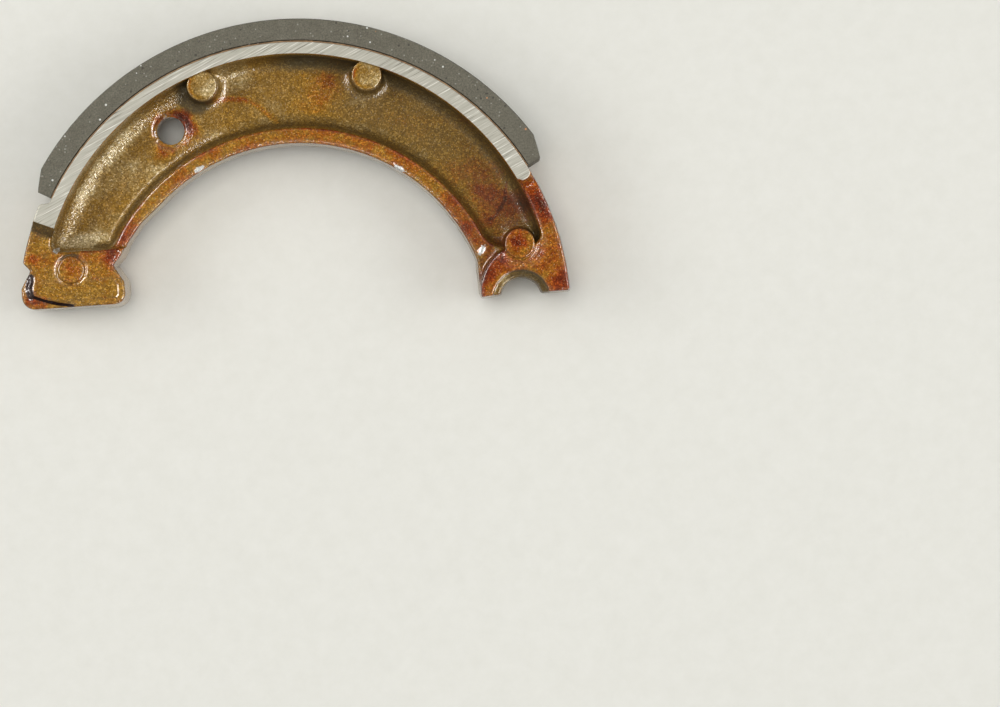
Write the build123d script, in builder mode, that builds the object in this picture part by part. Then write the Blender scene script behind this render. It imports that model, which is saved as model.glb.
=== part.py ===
from build123d import *
from math import asin, atan2, cos, degrees, radians, sin, sqrt, tan
import os

# Cast shoe of a small drum brake, with its friction lining bonded on.
# Millimetres and degrees. The origin is on the drum's axis at the middle of the shoe's width.
# +X points at the anchor pin that the shoe swings on, +Y at the crown of the shoe, +Z along the drum's axis.
# Heights are measured from the brake's centre line, the X axis. Angles are measured from the crown.

# Friction lining
drum_radius = 54.8  # friction face
lining_thickness = 4.15
lining_width = 20.0
lining_half_angle = 61.0
lead_in_angle = 4.4  # slope at each end of the friction face
lead_in_depth = 1.45
bond_thickness = 0.2

# Rim, the wide flange under the lining
rim_crown_thickness = 2.2
rim_wall_rise = 0.85  # its inner face is struck from this far above the drum's axis
ground_cam_angle = 5.8  # the ground face runs on this far past the lining's cam end
ground_anchor_angle = 3.0  # and past its anchor end
end_step = 1.5  # slope at each end, down to the end blocks
land_height = 1.45  # locating lip past the lining's cam end
land_gap_angle = 1.6  # between the lining and that lip

# Web, inner rib and the pocket on each side of the web
web_thickness = 4.8
rib_height = 3.1  # above the web
rib_width = 3.15
shoe_depth = 18.85  # from the rim's outer face to the bay, at the crown
bay_drop = 3.8  # the bay is struck from this far below the drum's axis
pocket_cam_height = 14.5  # end wall of the pocket on the cam side
pocket_anchor_height = 9.6  # and on the anchor side
pocket_corner = 2.4
floor_fillet = 1.8
draft = 2.0

# Anchor end, which sits on one half of the pin
pin_radius = 4.0
pin_inset = 9.05  # from the rim's outer face
anchor_face_height = 0.95
leg_height = 7.6  # where the bay ends and the leg's side drops straight down
seat_recess_wall = 1.2
seat_recess_depth = 2.2
shoulder_radius = 8.4  # edge of the anchor block towards the rib
shoulder_shift = 1.0  # its centre lies beyond the pin
shoulder_rise = 1.7  # and above it

# Cam end
foot_inset = 9.1  # middle of the foot, from the rim's outer face
foot_half_width = 9.5
foot_corner = 2.0
cam_face_height = 4.2
notch_height = 11.4  # root of the notch in each side
notch_depth = 1.9
notch_rise = 1.5
notch_drop = 3.3
notch_root = 0.6

# Ejector bosses, the spring hole and its collar
boss_radius = 2.65
boss_angle = 19.5  # either side of the crown
boss_cover = 1.8  # from a boss's side to the rim's outer face
boss_step = 0.7  # top, below the ground face
boss_flare = 1.2
column_edge = 0.3  # bevel round the top of each column
anchor_boss_height = 10.2
anchor_boss_step = 0.2  # top, above the anchor block
mark_height = 11.1  # round mark on the foot
mark_depth = 0.2
hole_radius = 2.6
hole_angle = 31.2  # towards the cam
hole_inset = 8.6  # from the rim's outer face
collar_wall = 1.1
collar_height = 0.9
collar_flare = 0.5

# Sizes that follow from those above
lining_inner_radius = drum_radius - lining_thickness
rim_radius = lining_inner_radius - bond_thickness
land_radius = rim_radius + land_height
rim_half = lining_width / 2
block_half = rim_half - end_step
web_half = web_thickness / 2
rib_half = web_half + rib_height
rim_wall_radius = rim_radius - rim_crown_thickness - rim_wall_rise
bay_radius = rim_radius - shoe_depth + bay_drop
pin_x = rim_radius - pin_inset
leg_x = sqrt(bay_radius**2 - (leg_height + bay_drop) ** 2)
foot_x = foot_inset - rim_radius
foot_outer_x = foot_x - foot_half_width
foot_inner_x = foot_x + foot_half_width
notch_top = notch_height + notch_rise
notch_foot = notch_height - notch_drop
beyond = drum_radius  # reach of a cutting tool past what it cuts


def at(radius, angle):
    """Point at a radius about the drum's axis, at an angle from the crown towards the cam."""
    return (-radius * sin(radians(angle)), radius * cos(radians(angle)))


def ring_face(inner_radius, outer_radius, anchor_angle, cam_angle):
    """Piece of a ring about the drum's axis, from an angle on the anchor side to one on the cam side."""
    with BuildSketch() as face:
        with BuildLine():
            outer = CenterArc((0, 0), outer_radius, 90 - anchor_angle, anchor_angle + cam_angle)
            inner = CenterArc((0, 0), inner_radius, 90 - anchor_angle, anchor_angle + cam_angle)
            Line(outer @ 0, inner @ 0)
            Line(outer @ 1, inner @ 1)
        make_face()
    return face.sketch


def column(radius, half_height, flare):
    """Revolve one column that stands out of both sides of the web, with a bevelled edge and a flared foot."""
    with BuildPart() as solid:
        with BuildSketch(Plane.XZ):
            with BuildLine():
                Polyline(
                    (0, 0),
                    (0, half_height),
                    (radius - column_edge, half_height),
                    (radius, half_height - column_edge),
                    (radius, web_half + flare),
                    (radius + flare, web_half),
                    (radius + flare, 0),
                    close=True,
                )
            make_face()
        revolve(axis=Axis.Z)
        mirror(about=Plane.XY)
    return solid.part


# Blank of the casting: the outline of the shoe, as deep as the end blocks
bay_start = (leg_x, leg_height)
bay_end = (-sqrt(bay_radius**2 - (notch_top + bay_drop) ** 2), notch_top)
bay_start_angle = degrees(atan2(bay_start[1] + bay_drop, bay_start[0]))
bay_end_angle = degrees(atan2(bay_end[1] + bay_drop, bay_end[0]))
tip_angle = degrees(asin(anchor_face_height / rim_radius))
land_start = 90 + lining_half_angle + land_gap_angle
land_end = 180 - degrees(asin(notch_top / land_radius))

with BuildPart() as blank:
    with BuildSketch():
        with BuildLine():
            back = CenterArc((0, 0), rim_radius, tip_angle, land_start - tip_angle)
            land = CenterArc((0, 0), land_radius, land_start, land_end - land_start)
            bay = CenterArc((0, -bay_drop), bay_radius, bay_start_angle, bay_end_angle - bay_start_angle)
            Line(back @ 1, land @ 0)
            Polyline(
                land @ 1,
                (foot_outer_x + notch_depth, notch_height),
                (foot_outer_x, notch_foot),
                (foot_outer_x, cam_face_height),
                (foot_inner_x, cam_face_height),
                (foot_inner_x, notch_foot),
                (foot_inner_x - notch_depth, notch_height),
                bay @ 1,
            )
            Polyline(bay @ 0, (leg_x, anchor_face_height), back @ 0)
        make_face()
        foot_corners = vertices().filter_by(lambda v: v.X < 0 and v.Y < notch_top + notch_root).sort_by(Axis.Y)
        fillet(foot_corners[:2], foot_corner)
        fillet(foot_corners[2:], notch_root)
    extrude(amount=block_half, both=True)

# Rim: as wide as the lining, and sloped down at both ends to the blocks
slope_angle = degrees(end_step / rim_radius)
rim_cam_end = lining_half_angle + ground_cam_angle + slope_angle
rim_anchor_end = lining_half_angle + ground_anchor_angle + slope_angle

with BuildPart() as rim:
    with BuildSketch():
        add(ring_face(rim_wall_radius - rim_crown_thickness, rim_radius, rim_anchor_end, rim_cam_end))
        add(ring_face(rim_wall_radius - rim_crown_thickness, land_radius, 90 - land_start, rim_cam_end))
    extrude(amount=rim_half, both=True)
    ends = faces().filter_by(GeomType.PLANE).filter_by(Axis.Z, reverse=True).sort_by(Axis.Y)[:2]
    chamfer(ends.edges().filter_by(Axis.Z, reverse=True), end_step)

# Pocket on the +Z side, between the rim and the rib, with drafted walls and a rounded floor
wall_depth = rim_half - web_half
drafted = tan(radians(draft))

with BuildPart() as pocket:
    with BuildSketch(Plane.XY.offset(web_half)):
        with Locations((0, rim_wall_rise)):
            Circle(rim_wall_radius - wall_depth * drafted)
        with Locations((0, -bay_drop)):
            Circle(bay_radius + rib_width + rib_height * drafted, mode=Mode.SUBTRACT)
        with BuildLine():
            Polyline(
                (0, pocket_cam_height),
                (-beyond, pocket_cam_height),
                (-beyond, beyond),
                (beyond, beyond),
                (beyond, pocket_anchor_height),
                (0, pocket_anchor_height),
                close=True,
            )
        make_face(mode=Mode.INTERSECT)
        fillet(vertices(), pocket_corner)
    extrude(amount=wall_depth, taper=-draft)
    fillet(faces().sort_by(Axis.Z)[0].edges(), floor_fillet)

# Relief over the rib on the +Z side: the rib is lower than the rim and the blocks
relief_radius = (bay_radius + rib_width + rim_wall_radius) / 2

with BuildPart() as relief:
    with BuildSketch(Plane.XY.offset(rib_half)):
        with Locations((0, -bay_drop)):
            Circle(relief_radius)
        with BuildLine():
            Polyline(
                (0, pocket_cam_height),
                (-beyond, pocket_cam_height),
                (-beyond, beyond),
                (beyond, beyond),
                (beyond, -beyond),
                (0, -beyond),
                close=True,
            )
        make_face(mode=Mode.INTERSECT)
        with Locations((pin_x + shoulder_shift, shoulder_rise)):
            Circle(shoulder_radius, mode=Mode.SUBTRACT)
    extrude(amount=wall_depth)

# Columns left by the ejector pins, and the collar round the spring hole
rim_boss = column(boss_radius, rim_half - boss_step, boss_flare)
anchor_boss = column(boss_radius, block_half + anchor_boss_step, boss_flare)
collar = column(hole_radius + collar_wall, web_half + collar_height, collar_flare)
boss_place = rim_radius - boss_cover - boss_radius
hole_place = rim_radius - hole_inset

with BuildPart() as shoe_casting:
    add(blank.part)
    add(rim.part)
    for tool in (pocket.part, relief.part):
        add(tool, mode=Mode.SUBTRACT)
        mirror(tool, about=Plane.XY, mode=Mode.SUBTRACT)
    with Locations(at(boss_place, boss_angle), at(boss_place, -boss_angle)):
        add(rim_boss)
    with Locations((pin_x, anchor_boss_height)):
        add(anchor_boss)
    with Locations(at(hole_place, hole_angle)):
        add(collar)
        Hole(hole_radius)
    with Locations((pin_x, 0)):
        Cylinder(pin_radius, lining_width, mode=Mode.SUBTRACT)
    with Locations((pin_x, 0, block_half), (pin_x, 0, -block_half)):
        Cylinder(pin_radius + seat_recess_wall, 2 * seat_recess_depth, mode=Mode.SUBTRACT)
    with Locations((foot_x, mark_height, block_half), (foot_x, mark_height, -block_half)):
        Cylinder(boss_radius, 2 * mark_depth, mode=Mode.SUBTRACT)

# Lining: an arc of friction material, thinner at both ends where the drum meets it
with BuildPart() as friction_lining:
    with BuildSketch():
        full_angle = lining_half_angle - lead_in_angle
        with BuildLine():
            face_arc = CenterArc((0, 0), drum_radius, 90 - full_angle, 2 * full_angle)
            seat_arc = CenterArc((0, 0), lining_inner_radius, 90 - lining_half_angle, 2 * lining_half_angle)
            Polyline(face_arc @ 0, at(drum_radius - lead_in_depth, -lining_half_angle), seat_arc @ 0)
            Polyline(face_arc @ 1, at(drum_radius - lead_in_depth, lining_half_angle), seat_arc @ 1)
        make_face()
    extrude(amount=rim_half, both=True)

# Film of adhesive between the lining and the rim
with BuildPart() as bond_line:
    with BuildSketch():
        add(ring_face(rim_radius, lining_inner_radius, lining_half_angle, lining_half_angle))
    extrude(amount=rim_half, both=True)

os.makedirs("parts", exist_ok=True)
for piece, name in (
    (shoe_casting, "shoe_casting"),
    (friction_lining, "friction_lining"),
    (bond_line, "bond_line"),
):
    piece.part.label = name
    export_step(piece.part, f"parts/{name}.step")
    print(name, "volume", round(piece.part.volume, 1), "mm3")
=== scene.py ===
# %% [markdown]
# # A cast shoe for a small drum brake
#
# The shoe is a half-moon casting in a light alloy, with a block of friction material bonded round its back.
# Its sides were ground flat after casting, and everything that wasn't ground carries a glossy amber lacquer.
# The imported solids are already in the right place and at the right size. They are loaded first, as a frame,
# and every surface made below stands on the same origin: the drum's axis, at the middle of the shoe's width.

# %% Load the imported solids
from math import radians

import bpy
import numpy as np
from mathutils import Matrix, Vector, geometry


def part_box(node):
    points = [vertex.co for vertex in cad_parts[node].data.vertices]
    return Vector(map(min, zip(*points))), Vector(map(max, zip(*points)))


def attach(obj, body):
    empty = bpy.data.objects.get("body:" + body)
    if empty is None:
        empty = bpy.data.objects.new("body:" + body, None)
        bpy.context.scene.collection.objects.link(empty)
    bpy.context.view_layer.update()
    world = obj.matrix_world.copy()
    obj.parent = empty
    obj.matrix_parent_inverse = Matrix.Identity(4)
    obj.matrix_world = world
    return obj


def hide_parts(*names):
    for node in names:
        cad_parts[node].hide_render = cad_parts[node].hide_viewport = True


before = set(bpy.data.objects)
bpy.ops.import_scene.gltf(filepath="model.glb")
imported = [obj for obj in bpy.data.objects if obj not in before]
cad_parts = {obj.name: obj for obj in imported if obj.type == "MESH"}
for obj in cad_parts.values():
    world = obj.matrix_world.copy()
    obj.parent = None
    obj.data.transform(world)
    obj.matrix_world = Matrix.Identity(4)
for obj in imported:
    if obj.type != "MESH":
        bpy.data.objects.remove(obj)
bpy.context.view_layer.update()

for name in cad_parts:
    low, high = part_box(name)
    print(name, "spans", [round(1000 * (b - a), 2) for a, b in zip(low, high)], "mm")

# %% [markdown]
# ## Camera
#
# The shoe lies flat and is looked at from straight above, from a metre away. The view is turned by four
# degrees, because the shoe wasn't laid square to it. A long lens keeps the deep walls from leaning much,
# and those that face the middle of the view still show a little.

# %% Camera
MM = 0.001
look_x, look_y, eye_height, view_turn = 36.71, -9.9, 1010, -4.0
camera_data = bpy.data.cameras.new("overhead_camera")
camera_data.sensor_width = 36.0
camera_data.lens = 194.4
camera = bpy.data.objects.new("overhead_camera", camera_data)
camera.location = (look_x * MM, look_y * MM, eye_height * MM)
camera.rotation_euler = (0.0, 0.0, radians(view_turn))
bpy.context.scene.collection.objects.link(camera)
bpy.context.scene.camera = camera
print("camera height", round(camera.location.z, 3), "m")

# %% [markdown]
# ## Helpers for materials
#
# Every finish below is a tree of shader nodes. One small helper adds a node and sets its options, and
# another fills sockets: a socket is given either a plain value, or another node's output, which is linked.

# %% Material helpers
def fill(tree, made, sockets):
    """Fill a node's sockets. Each entry is a number, a colour of three numbers, or an output to link."""
    for name, value in sockets.items():
        socket = made.inputs[name]
        if isinstance(value, bpy.types.NodeSocket):
            tree.links.new(value, socket)
        else:
            socket.default_value = (*value, 1.0) if socket.type == "RGBA" else value


def node(tree, kind, sockets=None, **options):
    """One new shader node with its options set and its sockets filled."""
    made = tree.nodes.new("ShaderNode" + kind)
    for name, value in options.items():
        setattr(made, name, value)
    fill(tree, made, sockets or {})
    return made


def start_material(name):
    """New material with a bare Principled shader, its tree, and the place in millimetres as an output."""
    material = bpy.data.materials.new(name)
    material.use_nodes = True
    tree = material.node_tree
    shader = tree.nodes["Principled BSDF"]
    place = node(tree, "TexCoord").outputs["Object"]
    in_mm = node(tree, "VectorMath", {0: place, "Scale": 1000.0}, operation="SCALE")
    print("material", name)
    return material, tree, shader, in_mm.outputs[0]


def arithmetic(tree, operation, *values, clamp=False):
    """One Math node on outputs or plain numbers."""
    sockets = dict(enumerate(values))
    return node(tree, "Math", sockets, operation=operation, use_clamp=clamp).outputs[0]

# %% [markdown]
# Patterns and colours come from a few kinds of node that are used again and again: clouds of noise, ramps
# that turn a number into a colour, mixes of two colours, changes of scale, and a bump that tilts the light
# without moving the surface. Each gets a short name here.

# %% Pattern and colour helpers
def speckle(tree, place, per_mm, detail=2.0, roughness=0.5):
    """Cloudy noise around one half, with so many lumps to the millimetre."""
    sockets = {"Vector": place, "Scale": per_mm, "Detail": detail, "Roughness": roughness}
    return node(tree, "TexNoise", sockets).outputs["Fac"]


def ramp(tree, factor, *stops):
    """Colour ramp: each stop is a position and a linear colour."""
    made = node(tree, "ValToRGB", {"Fac": factor})
    points = made.color_ramp.elements
    while len(points) < len(stops):
        points.new(0.5)
    for point, (position, colour) in zip(points, stops):
        point.position = position
        point.color = (*colour, 1.0)
    return made.outputs["Color"]


def blend(tree, factor, first, second, mode="MIX"):
    """Mix of two colours, each an output or a linear colour."""
    sockets = {0: factor, 6: first, 7: second}
    return node(tree, "Mix", sockets, data_type="RGBA", blend_type=mode).outputs[2]


def rescale(tree, value, low, high, at_low, at_high, **options):
    """Change of scale: at_low where the value is low or less, at_high where it is high or more."""
    sockets = {"Value": value, "From Min": low, "From Max": high, "To Min": at_low, "To Max": at_high}
    return node(tree, "MapRange", sockets, **options).outputs[0]


def bump(tree, height, depth, strength, under=None, **options):
    """Normal tilted as if a height from 0 to 1 were so many millimetres deep, on top of the one under it."""
    sockets = {"Height": height, "Distance": depth * MM, "Strength": strength}
    if under is not None:
        sockets["Normal"] = under
    return node(tree, "Bump", sockets, **options).outputs[0]

# %% [markdown]
# ## Floor and light
#
# The shoe rests on a pale warm table between two soft lamps, one on each side, halfway up. A third lamp
# hangs almost straight overhead and reaches the table through the spring hole, and a dim sky fills in the
# rest. Together they light a flat surface about as brightly as its own colour is written. The overhead
# lamp is kept out of the gloss, so that level lacquer isn't hazed over, and two long strips show only in
# the gloss, where they draw white glints along the edges. For the same reason the sky is dark right
# overhead. Straight into the camera it is an even pale grey, so that low views get a plain backdrop.

# %% Floor
floor_level, table_half = -10.06, 1500
corners = [(-1, -1), (1, -1), (1, 1), (-1, 1)]
corners = [(table_half * MM * x, table_half * MM * y, floor_level * MM) for x, y in corners]
floor_mesh = bpy.data.meshes.new("table_top")
floor_mesh.from_pydata(corners, [], [(0, 1, 2, 3)])
table_top = bpy.data.objects.new("table_top", floor_mesh)
bpy.context.scene.collection.objects.link(table_top)

table_paint, tree, shader, place = start_material("table_paint")
paper = speckle(tree, place, 0.35, 5.0, 0.6)
tint = ramp(tree, paper, (0.3, (0.768, 0.766, 0.716)), (0.7, (0.798, 0.796, 0.75)))
felt = bump(tree, speckle(tree, place, 1.4, 3.0), 0.04, 0.35)
fill(tree, shader, {"Base Color": tint, "Roughness": 0.75, "Specular IOR Level": 0.25, "Normal": felt})
table_top.data.materials.append(table_paint)
print("floor at", floor_level, "mm")

# %% Lamps
def lamp(name, where, width, height, watts, in_gloss=True, in_dull=True):
    """Oblong lamp that faces the shoe, placed and sized in millimetres. It can be left out of the gloss or
    out of the diffuse light."""
    data = bpy.data.lights.new(name, "AREA")
    data.shape = "RECTANGLE"
    data.size = width * MM
    data.size_y = height * MM
    data.energy = watts
    data.color = (1.0, 0.99, 0.97)
    made = bpy.data.objects.new(name, data)
    made.location = Vector(where) * MM
    made.rotation_euler = Vector(where).to_track_quat("Z", "Y").to_euler()
    made.visible_glossy, made.visible_diffuse = in_gloss, in_dull
    bpy.context.scene.collection.objects.link(made)


lamp("left_softbox", (-660, 170, 680), 420, 420, 1.3)
lamp("right_softbox", (700, -20, 660), 420, 420, 1.3)
lamp("overhead", (-72, 100, 1290), 500, 500, 6.2, in_gloss=False)
lamp("left_strip", (-600, 280, 690), 800, 80, 6.6, in_dull=False)
lamp("right_strip", (590, -250, 690), 1150, 90, 12.0, in_dull=False)
print(len(bpy.data.lights), "lamps")

# %% [markdown]
# The sky is a world whose strength depends on where a ray goes. A ramp gives its level by height. It is
# brighter to the left and right: x squared divided by one less z squared is 1 towards the sides and 0 in
# front and behind, at any height. The one is a thousandth more, so that nothing is divided by zero.

# %% Sky
backdrop_level, least_glow, side_glow = 0.78, 1.1, 1.8
by_height = [(0.0, 0.16), (0.3, 0.24), (0.5, 0.38), (0.77, 0.66), (0.93, 0.68), (0.965, 0.2), (1.0, 0.08)]
sky = bpy.data.worlds.new("even_sky")
bpy.context.scene.world = sky
sky.use_nodes = True
tree = sky.node_tree
direction = node(tree, "TexCoord").outputs["Generated"]
parts = node(tree, "SeparateXYZ", {"Vector": direction}).outputs
overhead = ramp(tree, parts["Z"], *[(height, (level / 2,) * 3) for height, level in by_height])
squares = [arithmetic(tree, "MULTIPLY", parts[axis], parts[axis]) for axis in "XZ"]
sideways = arithmetic(tree, "DIVIDE", squares[0], arithmetic(tree, "SUBTRACT", 1.001, squares[1]))
glow = arithmetic(tree, "MULTIPLY_ADD", sideways, side_glow, least_glow)
glow = arithmetic(tree, "MULTIPLY", glow, overhead)
background = tree.nodes["Background"]
seen = node(tree, "LightPath").outputs["Is Camera Ray"]
backdrop = arithmetic(tree, "MULTIPLY", seen, backdrop_level)
glow = arithmetic(tree, "MULTIPLY", glow, arithmetic(tree, "SUBTRACT", 1.0, seen))
strength = arithmetic(tree, "ADD", glow, backdrop)
fill(tree, background, {"Color": (1.0, 0.995, 0.97), "Strength": strength})

bpy.context.scene.view_settings.view_transform = "Standard"
print("sky levels", [level for _, level in by_height])

# %% [markdown]
# ## Putting a surface into a mesh
#
# All the surfaces are worked out in millimetres as whole arrays. One helper turns such arrays into a mesh
# object in metres, and a second one numbers the faces of a grid of points, which may close on itself like
# a tube.

# %% Mesh helpers
def mesh_object(name, points, faces, node_name, materials, sharp_angle=40.0):
    """Mesh from an array of points in mm and an array of faces, three or four corners each."""
    data = bpy.data.meshes.new(name)
    corners_each = faces.shape[1]
    data.vertices.add(len(points))
    data.vertices.foreach_set("co", (points * MM).astype(np.float32).ravel())
    data.loops.add(faces.size)
    data.loops.foreach_set("vertex_index", faces.astype(np.int32).ravel())
    data.polygons.add(len(faces))
    data.polygons.foreach_set("loop_start", np.arange(0, faces.size, corners_each, dtype=np.int32))
    data.update(calc_edges=True)
    data.validate()
    data.polygons.foreach_set("use_smooth", np.ones(len(data.polygons), bool))
    data.set_sharp_from_angle(angle=radians(sharp_angle))
    for material in materials:
        data.materials.append(material)
    made = bpy.data.objects.new(name, data)
    bpy.context.scene.collection.objects.link(made)
    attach(made, "root")
    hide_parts(node_name)
    print(name, len(points), "points,", len(faces) * (corners_each - 2), "triangles")
    return made


def grid_faces(rows, columns, closed):
    """Four-cornered faces between rows and columns of points; closed joins the last column to the first."""
    across = np.arange(columns if closed else columns - 1)
    first = (np.arange(rows - 1)[:, None] * columns + across).ravel()
    second = (np.arange(rows - 1)[:, None] * columns + (across + 1) % columns).ravel()
    return np.stack([first, second, second + columns, first + columns], axis=1)


def store(made, name, values):
    """Keep one number for each vertex, which a material can read by name."""
    made.data.attributes.new(name, "FLOAT", "POINT").data.foreach_set("value", values.astype(np.float32))


print("a tube of 5 rows and 8 columns has", len(grid_faces(5, 8, True)), "faces")

# %% [markdown]
# Surfaces that were cast or painted by hand are never quite even. Waves of random direction and length,
# added up, make them uneven, and a seed makes the same waves each time. A soft step blends from one value
# to the next without a kink, and a band is a soft step up and another one down. A bell curve fades out on
# both sides of a line or a place.

# %% Waves, soft steps and bells
def sine_noise(points, seed, shortest, longest, count=14):
    """Gentle random waves, about -1 to 1: a sum of seeded sine waves in random directions and lengths."""
    dice = np.random.default_rng(seed)
    total = np.zeros(len(points))
    for length in np.exp(dice.uniform(np.log(shortest), np.log(longest), count)):
        direction = dice.normal(size=points.shape[1])
        direction /= np.linalg.norm(direction)
        total += np.sin(points @ direction * 2 * np.pi / length + dice.uniform(0, 2 * np.pi))
    return total / np.sqrt(count / 2)


def smooth_step(low, high, value):
    """0 below low, 1 above high, and a soft S between them."""
    t = np.clip((value - low) / (high - low), 0, 1)
    return t * t * (3 - 2 * t)


def band(value, start, full, still_full, end):
    """0 outside start and end, 1 between the two inner values, and a soft S on both sides."""
    return smooth_step(start, full, value) * smooth_step(end, still_full, value)


def bell(distance, width):
    """Bell curve, e to the minus square of distance over width: 1 in the middle, 0.37 at one width."""
    return np.exp(-((distance / width) ** 2))


print("soft step at one quarter:", smooth_step(0, 1, 0.25), "and bell at one width:", round(bell(1, 1), 3))

# %% [markdown]
# ## Outline of the casting
#
# Seen from above, the casting is one closed line: the round back that the lining is bonded to, a low lip
# past the lining's end, the foot that the cam pushes on, with a notch in each side, the bay that goes round
# the wheel's hub, and two legs that straddle the anchor pin. Arcs and corners give that line roughly, and
# averaging each point with its neighbours rounds the corners, as in a casting.

# %% Arcs and soft loops
def arc(centre, radius, start, end):
    """Points on an arc: its centre plus the radius, turned in even steps between two angles in degrees."""
    turn = np.radians(np.linspace(start, end, max(3, int(abs(end - start) * radius / 5))))
    return np.stack([centre[0] + radius * np.cos(turn), centre[1] + radius * np.sin(turn)], axis=1)


def soft_loop(points, spacing, softness):
    """Closed line in even steps, each point then a mean of its neighbours along it with bell weights, which
    a Fourier transform of the line takes all at once."""
    closed = np.vstack([points, points[:1]])
    run = np.concatenate([[0], np.cumsum(np.hypot(*np.diff(closed, axis=0).T))])
    count = int(run[-1] / spacing)
    at = np.arange(count) * run[-1] / count
    even = np.stack([np.interp(at, run, closed[:, k]) for k in (0, 1)], axis=1)
    weights = np.exp(-2 * (np.pi * np.fft.rfftfreq(count, run[-1] / count) * softness) ** 2)
    return np.fft.irfft(np.fft.rfft(even, axis=0) * weights[:, None], count, axis=0)


print("a quarter turn of radius 40 has", len(arc((0, 0), 40, 0, 90)), "points")

# %% Outline
back_radius, lip_radius, lip_start, lip_end = 50.45, 52.1, 152.6, 165.6
bay_radius, bay_drop = 35.6, 3.8
pin_x, pin_radius, pin_leg_level = 41.4, 4.0, 0.95
foot_left, foot_right, foot_level, foot_shoulder = -51.05, -31.85, 4.2, 8.2
foot_corner_left, foot_corner_right, notch_level = 2.4, 2.0, 11.4
outline = soft_loop(
    np.vstack([
        arc((0, 0), back_radius, 1.1, lip_start - 0.6),
        arc((0, 0), lip_radius, lip_start + 0.5, lip_end),
        [(-49.15, notch_level), (foot_left, foot_shoulder)],
        arc((foot_left + foot_corner_left, foot_level + foot_corner_left), foot_corner_left, 180, 270),
        arc((foot_right - foot_corner_right, foot_level + foot_corner_right), foot_corner_right, 270, 360),
        [(foot_right, foot_shoulder), (-33.75, notch_level)],
        [(-32.3, 13.0), (-30.85, 15.5), (-28.2, 18.9)],
        arc((0, -bay_drop), bay_radius, 133.5, 18.8),
        [(33.9, 1.0), (34.0, 0.72), (37.4, 1.02)],
        arc((pin_x, 0), pin_radius, 165.5, 13.5),
        [(50.2, pin_leg_level)],
    ]),
    0.08,
    0.22,
)
ahead = np.roll(outline, -1, axis=0) - np.roll(outline, 1, axis=0)
outward = np.stack([ahead[:, 1], -ahead[:, 0]], axis=1) / np.hypot(*ahead.T)[:, None]
print("outline", len(outline), "points, spans", np.ptp(outline, axis=0).round(2), "mm")

# %% [markdown]
# ## Heights of the casting
#
# Each side of the casting can be made as a height over the plan, because a part that leaves a die has no
# undercut. The height is built up as a pattern maker would: blocks, the wider rim, the lower rib, the
# pocket between them, then columns, collar and seat. One profile serves every wall: it gives the height
# from the distance to the wall's top edge.

# %% Wall profile and the distance to the outline
def wall_profile(s, low, high, edge, fillet, lean):
    """Height across a cast wall, where s is the distance in from its top edge: a rounded edge, a wall that
    leans out by lean on its way down, and a hollow fillet that meets the lower level."""
    crest = high - edge + np.sqrt(np.maximum(edge**2 - np.clip(edge - s, 0, edge) ** 2, 0))
    foot = low + fillet
    wall = high - edge + (foot - high + edge) * np.clip(-s / lean, 0, 1)
    hollow = foot - np.sqrt(np.maximum(fillet**2 - np.clip(s + lean + fillet, 0, fillet) ** 2, 0))
    return np.where(s >= 0, crest, np.where(s >= -lean, wall, hollow))


def edge_distance(x, y):
    """Distance in from the outline: to the nearest of its points or, close by, to the tangent there."""
    close_squared = 0.5
    result = np.empty(len(x))
    line = outline.astype(np.float32)
    for part in np.array_split(np.arange(len(x)), len(x) // 1500 + 1):
        away = (x[part, None].astype(np.float32) - line[:, 0]) ** 2
        away += (y[part, None].astype(np.float32) - line[:, 1]) ** 2
        near = away.argmin(axis=1)
        squared = away.min(axis=1)
        across = (x[part] - outline[near, 0]) * outward[near, 0]
        across += (y[part] - outline[near, 1]) * outward[near, 1]
        result[part] = np.where(squared < close_squared, -across, -np.sign(across) * np.sqrt(squared))
    return result


print("across a wall:", wall_profile(np.array([1.0, -0.2, -9.0]), 2.0, 6.0, 0.5, 1.0, 0.3).round(2), "mm")

# %% [markdown]
# Two distances say where the walls between the levels run. The pocket has four walls: the rim's, the rib's
# and one at each end. The blocks over the foot and over the pin have walls of their own, down to the rib.

# %% Distances to the pocket and the blocks
rim_centre_x, rim_centre_y, rim_wall_radius = -0.24, 0.86, 47.4
rib_width, rib_width_at_foot = 2.95, 2.7
pocket_foot_end, pocket_pin_end, pocket_middle = 14.5, 10.0, 42
pocket_corner, corner_lost = 2.4, 0.8


def under_rim(x, y):
    """Distance in from the rim's inner wall, towards the drum's axis."""
    return rim_wall_radius - np.hypot(x - rim_centre_x, y - rim_centre_y)


def hub_distance(x, y):
    """Distance from the middle of the bay. The pocket's middle line is at pocket_middle."""
    return np.hypot(x, y + bay_drop)


def pocket_distance(x, y):
    """Distance out from the pocket's top edge, less than zero inside it. The pocket lies inside the rim's
    wall, outside the rib and above an end wall on each side, with its corners rounded. The rib thins out
    at the foot, where the pocket's corner is tighter."""
    at_foot = smooth_step(18.5, 14.5, y) * (x < 0) * smooth_step(-39.5, -36.5, x)
    over_rib = hub_distance(x, y) - bay_radius - rib_width + (rib_width - rib_width_at_foot) * at_foot
    over_end = y - np.where(x < 0, pocket_foot_end, pocket_pin_end)
    walls = np.stack([under_rim(x, y), over_rib, over_end])
    corner = pocket_corner - corner_lost * at_foot
    rounded = np.sqrt((np.maximum(corner - walls, 0) ** 2).sum(axis=0)) - corner
    return np.where(walls.min(axis=0) >= corner, -walls.min(axis=0), rounded)


shoulder_x, shoulder_y, shoulder_radius, outer_start = 42.42, 1.71, 8.43, 42.9


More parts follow.
